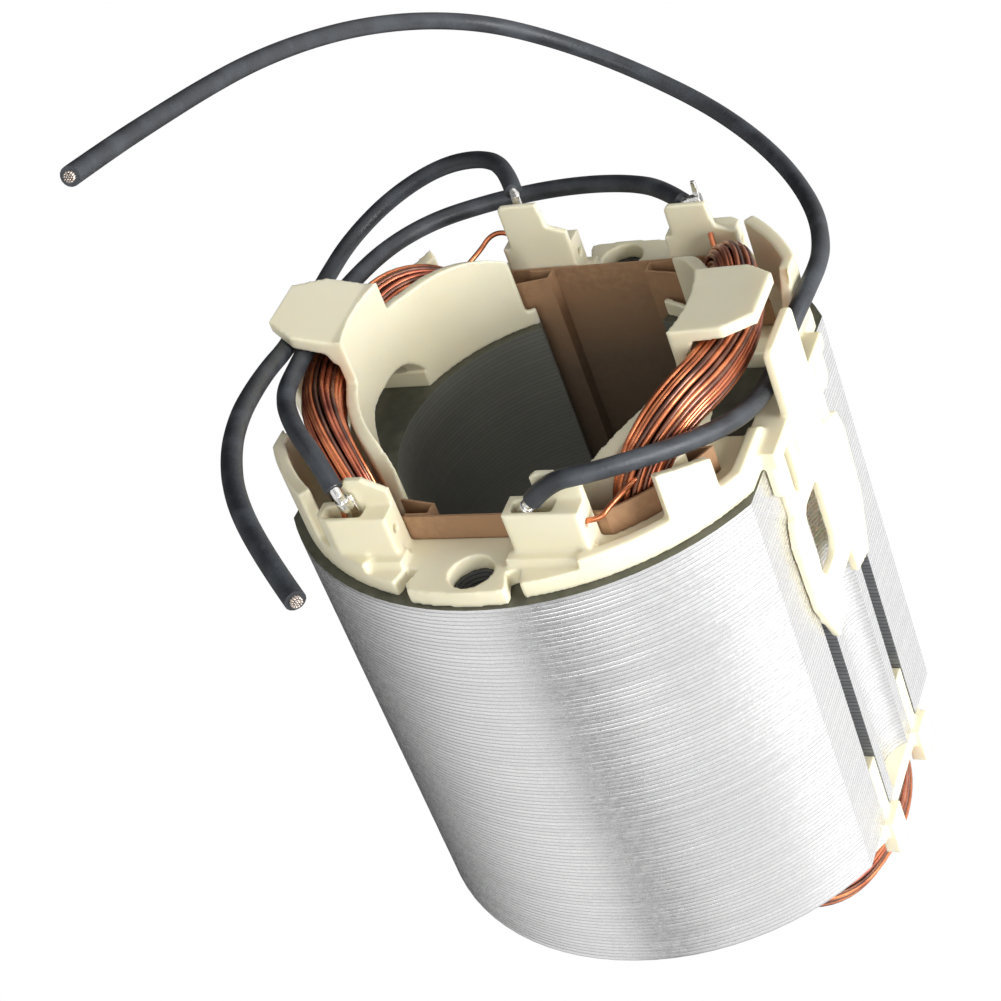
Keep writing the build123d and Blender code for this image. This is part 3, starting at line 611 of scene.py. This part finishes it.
def coil_path():
    """Stations round one coil: arc length, height, direction and share of end turn."""
    leg_s = coil_radius * leg_angle
    stations = []
    for sign, end_z, corner in ((1, upper_end_z, upper_corner), (-1, lower_end_z, lower_corner)):
        half = []
        centre_z = end_z - sign * corner
        centre_s = leg_s - corner
        for k in range(leg_steps):
            z = leg_middle_z + (centre_z - leg_middle_z) * k / leg_steps
            half.append((leg_s, z, 0.0, sign, 0.0))
        for k in range(corner_steps + 1):
            turn = math.pi / 2 * k / corner_steps
            half.append((centre_s + corner * math.cos(turn),
                         centre_z + sign * corner * math.sin(turn),
                         -math.sin(turn), sign * math.cos(turn), k / corner_steps))
        for k in range(1, end_steps + 1):
            half.append((centre_s * (1 - k / end_steps), end_z, -1.0, 0.0, 1.0))
        back = [(-s, z, ds, -dz, w) for s, z, ds, dz, w in reversed(half[:-1])]
        side = half + back
        if sign < 0:
            side = [(-s, z, -ds, dz, w) for s, z, ds, dz, w in side]
        depth = upper_end_depth if sign > 0 else lower_end_depth
        for s, z, ds, dz, w in side:
            stations.append((s, z, ds, dz, w, depth))
    return stations[:-1]


def bundle_reach(c, s, half_radial, half_width):
    """Distance from the middle of the bundle to its squarish outline, in one direction."""
    p = bundle_squareness
    return (abs(c / half_radial) ** p + abs(s / half_width) ** p) ** (-1 / p)


def wound_coil(name, node, side, seed):
    """Loop of separate turns on a near-black inner layer that is painted shade between the
    turns, for the pole on one side.
    """
    dice = random.Random(seed)
    path = coil_path()
    total = len(path)
    places = []
    for s, z, ds, dz, w, depth in path:
        angle = s / coil_radius
        if side < 0:
            angle = math.pi - angle
            ds = -ds
        out = Vector((math.cos(angle), math.sin(angle), 0))
        round_way = Vector((-math.sin(angle), math.cos(angle), 0))
        along = (round_way * ds + Vector((0, 0, dz))).normalized()
        across = along.cross(out)
        centre = out * coil_radius + Vector((0, 0, z))
        radial = leg_radial + (end_radial - leg_radial) * w
        width = leg_width + (depth - leg_width) * w
        places.append((centre, out, across, radial, width))
    vertices, faces, tones = [], [], []

    def lay_turn(phase, depth_in, tone):
        waves = [(dice.choice((1, 2, 3, 4, 5)), dice.uniform(0, whole_turn)) for _ in range(2)]
        points = []
        for k, (centre, out, across, radial, width) in enumerate(places):
            turn = 2 * math.pi * k / total
            drift = sum(math.sin(n * turn + p) for n, p in waves) * turn_drift
            lift = sum(math.cos(n * turn + 2 * p) for n, p in waves) * turn_lift
            c = math.cos(phase + drift)
            s = math.sin(phase + drift)
            inner_r = radial / 2 - wire_diameter / 2 - depth_in
            inner_w = width / 2 - wire_diameter / 2 - depth_in
            reach = bundle_reach(c, s, inner_r, inner_w) + lift
            points.append(centre + out * (reach * c) + across * (reach * s))
        before = len(faces)
        add_tube(vertices, faces, points, wire_diameter / 2, turn_sides, closed=True)
        tones.extend([tone] * (len(faces) - before))

    # Even spacing round the bundle needs angles set by its outline, not equal angles
    outline = []
    for k in range(bundle_steps + 1):
        a = 2 * math.pi * k / bundle_steps
        reach = bundle_reach(math.cos(a), math.sin(a), leg_radial, leg_width)
        outline.append((a, Vector((reach * math.cos(a), reach * math.sin(a)))))
    lengths = [0.0]
    for (_, here), (_, there) in zip(outline, outline[1:]):
        lengths.append(lengths[-1] + (there - here).length)
    for layer, number in ((0, strands_round), (1, strands_round - strands_fewer_inside)):
        for j in range(number):
            wanted = lengths[-1] * (j + 0.5 * layer) / number
            k = next(i for i, length in enumerate(lengths) if length >= wanted)
            if layer == 0:
                tone = dice.choice((0, 0, 1, 1, 2))
            else:
                # Inner layer: near-black, painted shade between the outer turns
                tone = 3
            lay_turn(outline[k][0], layer_depth * layer + dice.uniform(0.0, layer_scatter), tone)
    coil = mesh_piece(name, vertices, faces, copper_tones, tones)
    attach(coil, "root")
    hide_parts(node)


wound_coil("right_pole_winding", "field_coil_right", 1, 11)
wound_coil("left_pole_winding", "field_coil_left", -1, 23)

# Coil ends: the first and last turn of each coil leave the bundle and run over
# the end frame into the nearest terminal housing.
end_routes = {
    "right_front": [
        (0.0162, -0.0158, 0.0662), (0.0139, -0.0203, 0.0660), (0.0132, -0.02205, 0.0653),
        (0.0089, -0.02205, 0.0653),
    ],
    "right_back": [(0.0161, 0.0157, 0.0655), (0.0135, 0.0183, 0.0660), (0.0130, 0.0201, 0.0676)],
    "left_back": [
        (-0.0162, 0.0158, 0.0663), (-0.0138, 0.0202, 0.0672), (-0.0123, 0.0218, 0.0687),
        (-0.0100, 0.0220, 0.0685), (-0.0097, 0.0220, 0.0667),
    ],
    "left_front": [
        (-0.0161, -0.0157, 0.0664), (-0.0138, -0.0196, 0.0680), (-0.0133, -0.0212, 0.0682),
        (-0.0132, -0.0218, 0.0661),
    ],
}
for place, route in end_routes.items():
    tail = lay_wire("coil_end_" + place, route, wire_diameter, copper_tones[0])
    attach(tail, "root")

# Slot papers: tan insulating board cut 0.25 mm thick, bent into each slot, with
# a folded strip that closes the slot mouth.
board, tree, shader = new_finish("slot_board", 0.0, 0.75)
fibres = add_cloud(tree, 1300.0, 6.0, 0.3, 0.7)
patches = add_cloud(tree, 120.0, 3.0, 0.35, 0.65)
pulp = add_mix(tree, fibres, (0.28, 0.155, 0.080), (0.38, 0.225, 0.120))
mottled = add_mix(tree, patches, pulp, (0.36, 0.205, 0.105))
board_place = tree.nodes.new("ShaderNodeTexCoord")
board_split = tree.nodes.new("ShaderNodeSeparateXYZ")
# Painted shade: the board turns dark brown from 3 mm above the stack top to 8 mm below it,
# deeper in the slot.
board_painted_shade_by_depth = tree.nodes.new("ShaderNodeMapRange")
board_painted_shade_by_depth.inputs["From Min"].default_value = stack_high.z + 0.0030
board_painted_shade_by_depth.inputs["From Max"].default_value = stack_high.z - 0.0080
tree.links.new(board_place.outputs["Object"], board_split.inputs["Vector"])
tree.links.new(board_split.outputs["Z"], board_painted_shade_by_depth.inputs["Value"])
tree.links.new(add_mix(tree, board_painted_shade_by_depth.outputs["Result"], mottled, (0.155, 0.105, 0.066)),
               shader.inputs["Base Color"])
tree.links.new(add_range(tree, fibres, 0.62, 0.85), shader.inputs["Roughness"])
add_bump(tree, shader, fibres, 0.00003, 0.5)
for name in ("slot_liner_front", "slot_liner_back", "slot_closer_front_left",
             "slot_closer_front_right", "slot_closer_back_left", "slot_closer_back_right"):
    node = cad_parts[name]
    node.data.materials.clear()
    node.data.materials.append(board)

# Terminal contacts: strips of tinned brass 0.35 mm thick, folded to two leaves and
# pressed into the pockets, with an ear and a barrel crimped round the bared lead.
contact_sheet = 0.00035
contact_floor = 0.06345
leaf_heights = (0.0024, 0.0019)
heel_height = 0.0014
ear_taper = 0.35
knee_length = 0.0007
barrel_radius = 0.00072
barrel_length = 0.0014
barrel_share = 0.6
barrel_sides = 16
bared_radius = 0.00052
bared_sides = 14
strip_edge = 0.00006

tin, tree, shader = new_finish("tinned_strip", 1.0, 0.2)
solder = add_cloud(tree, 1100.0, 4.0, 0.35, 0.7)
tree.links.new(add_mix(tree, solder, (0.88, 0.87, 0.85), (0.58, 0.57, 0.55)),
               shader.inputs["Base Color"])
tree.links.new(add_range(tree, solder, 0.12, 0.36), shader.inputs["Roughness"])
add_bump(tree, shader, solder, 0.00006, 0.5)

# Name, left and right, first and second leaf, ear, lead, its end and the bared foot
contact_places = [
    ("contact_front_left", (-0.0146, -0.0111), (-0.02135, -0.02235),
     (-0.0128, -0.0111, 0.0690), "jumper_lead", (-1, -2), (-0.0123, -0.0218, 0.0676)),
    ("contact_front_right", (0.0053, 0.0086), (-0.02135, -0.02235),
     (0.0053, 0.0076, 0.0670), "supply_lead", (0, 1), (0.0059, -0.0218, 0.0667)),
    ("contact_back_right", (0.0092, 0.0125), (0.0224, 0.0214),
     (0.0110, 0.0125, 0.0726), "jumper_lead", (0, 1), (0.0122, 0.0221, 0.0705)),
    ("contact_back_left", (-0.0092, -0.0062), (0.02135, 0.02235),
     (-0.0092, -0.0076, 0.0692), "brush_lead", (0, 1), (-0.0082, 0.0220, 0.0680)),
]
for name, (x_low, x_high), leaves, ear, lead, ends, foot in contact_places:
    vertices, faces = [], []
    blocks = [((x_low, x_low + contact_sheet), sorted(leaves), heel_height)]
    for y, height in zip(leaves, leaf_heights):
        walls = (y - contact_sheet / 2, y + contact_sheet / 2)
        blocks.append(((x_low, x_high), walls, height))
        if height == leaf_heights[0]:
            blocks.append(((ear[0], ear[1]), walls, ear[2] - contact_floor))
    for (x_a, x_b), (y_a, y_b), height in blocks:
        start = len(vertices)
        taper = ear_taper * (x_b - x_a) if height > leaf_heights[0] else 0.0
        for z, inset in ((contact_floor, 0.0), (contact_floor + height, taper)):
            for x, y in ((x_a + inset, y_a), (x_b - inset, y_a), (x_b - inset, y_b),
                         (x_a + inset, y_b)):
                vertices.append((x, y, z))
        for corners in ((3, 2, 1, 0), (4, 5, 6, 7), (0, 1, 5, 4), (1, 2, 6, 5),
                        (2, 3, 7, 6), (3, 0, 4, 7)):
            faces.append(tuple(start + k for k in corners))
    end, before = [Vector(lead_routes[lead][k]) for k in ends]
    knee = end + (end - before).normalized() * knee_length
    foot = Vector(foot)
    down = (foot - knee).normalized()
    add_tube(vertices, faces, [end, knee, foot], bared_radius, bared_sides)
    middle = knee.lerp(foot, barrel_share)
    add_tube(vertices, faces, [middle - down * barrel_length / 2, middle,
                               middle + down * barrel_length / 2],
             barrel_radius, barrel_sides)
    strip = mesh_piece(name.replace("contact", "crimped_contact"), vertices, faces, [tin])
    strip.data.set_sharp_from_angle(angle=math.radians(40))
    rounded = strip.modifiers.new("rounded", "BEVEL")
    rounded.width = strip_edge
    rounded.segments = 2
    rounded.limit_method = "ANGLE"
    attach(strip, "root")
    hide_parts(name)

# Floor: a plain white table top that fades to the white of the picture.
floor_reach = 3
floor_corners = [(-floor_reach, -floor_reach, 0), (floor_reach, -floor_reach, 0),
                 (floor_reach, floor_reach, 0), (-floor_reach, floor_reach, 0)]
floor_mesh = bpy.data.meshes.new("floor")
floor_mesh.from_pydata(floor_corners, [], [(0, 1, 2, 3)])
floor = bpy.data.objects.new("floor", floor_mesh)
collection.objects.link(floor)
table_white = bpy.data.materials.new("table_white")
table_white.use_nodes = True
tree = table_white.node_tree
shader = tree.nodes["Principled BSDF"]
shader.inputs["Base Color"].default_value = (0.86, 0.86, 0.86, 1.0)
shader.inputs["Roughness"].default_value = 0.9


def mix_by_ray(tree, shown, choices):
    """Shader that gives way to another one for each kind of ray that is named."""
    paths = tree.nodes.new("ShaderNodeLightPath")
    for kind, other in choices:
        blend = tree.nodes.new("ShaderNodeMixShader")
        tree.links.new(paths.outputs[kind], blend.inputs[0])
        tree.links.new(shown.outputs[0], blend.inputs[1])
        tree.links.new(other.outputs[0], blend.inputs[2])
        shown = blend
    return shown


glow = tree.nodes.new("ShaderNodeEmission")
clear = tree.nodes.new("ShaderNodeBsdfTransparent")
seen = mix_by_ray(tree, shader, (("Is Camera Ray", glow), ("Is Glossy Ray", clear)))
tree.links.new(seen.outputs[0], tree.nodes["Material Output"].inputs["Surface"])
floor_mesh.materials.append(table_white)

# Light: a grey room, white to the camera, with a low soft lamp on the right and two
# weaker ones. Metal mirrors its bright and dark sides as soft bands round the stack.
world = bpy.data.worlds.new("studio_room")
world.use_nodes = True
bpy.context.scene.world = world
tree = world.node_tree
ambient = tree.nodes["Background"]
ambient.inputs["Color"].default_value = (0.98, 0.99, 1.0, 1.0)
ambient.inputs["Strength"].default_value = 0.31
room_place = tree.nodes.new("ShaderNodeTexCoord")
room_split = tree.nodes.new("ShaderNodeSeparateXYZ")
room_turn = tree.nodes.new("ShaderNodeMapRange")
room_turn.inputs["From Min"].default_value = -math.pi
room_turn.inputs["From Max"].default_value = math.pi
tree.links.new(room_place.outputs["Generated"], room_split.inputs["Vector"])
room_angle = add_math(tree, "ARCTAN2", room_split.outputs["Y"], room_split.outputs["X"])
tree.links.new(room_angle, room_turn.inputs["Value"])

# Brightness of the room round the axis, in degrees from +X
room_tones = [
    (-180, 0.22), (-164, 0.38), (-149, 0.60), (-119, 0.70), (-108, 0.56), (-100, 0.12),
    (-90, 0.26), (-72, 0.55), (-32, 0.62), (-14, 0.86), (22, 0.85), (65, 0.72),
    (101, 0.15), (126, 0.02), (155, 0.03), (180, 0.22),
]
room_ramp = tree.nodes.new("ShaderNodeValToRGB")
for number, (angle, tone) in enumerate(room_tones):
    place = (angle + 180) / 360
    if number in (0, 1):
        stop = room_ramp.color_ramp.elements[number]
        stop.position = place
    else:
        stop = room_ramp.color_ramp.elements.new(place)
    stop.color = (tone, tone, tone, 1.0)
tree.links.new(room_turn.outputs["Result"], room_ramp.inputs["Fac"])
mirrored_room = tree.nodes.new("ShaderNodeBackground")
mirrored_room.inputs["Strength"].default_value = 1.5
tree.links.new(room_ramp.outputs["Color"], mirrored_room.inputs["Color"])
backdrop = tree.nodes.new("ShaderNodeBackground")
backdrop.inputs["Color"].default_value = (1.0, 1.0, 1.0, 1.0)
seen = mix_by_ray(tree, ambient, (("Is Glossy Ray", mirrored_room), ("Is Camera Ray", backdrop)))
tree.links.new(seen.outputs[0], tree.nodes["World Output"].inputs["Surface"])

lamp_aim = Vector((0, 0, 0.04))
for name, place, size, power in (
    ("right_softbox", (0.60, -0.10, 0.18), 0.3, 4.8),
    ("front_softbox", (0.15, -0.60, 0.26), 0.4, 1.8),
    ("top_softbox", (0.20, 0.10, 0.85), 0.6, 0.5),
):
    lamp = bpy.data.lights.new(name, "AREA")
    lamp.size = size
    lamp.energy = power
    holder = bpy.data.objects.new(name, lamp)
    collection.objects.link(holder)
    holder.location = place
    aim = lamp_aim - Vector(place)
    holder.rotation_euler = aim.to_track_quat("-Z", "Y").to_euler()

bpy.context.scene.view_settings.view_transform = "Standard"
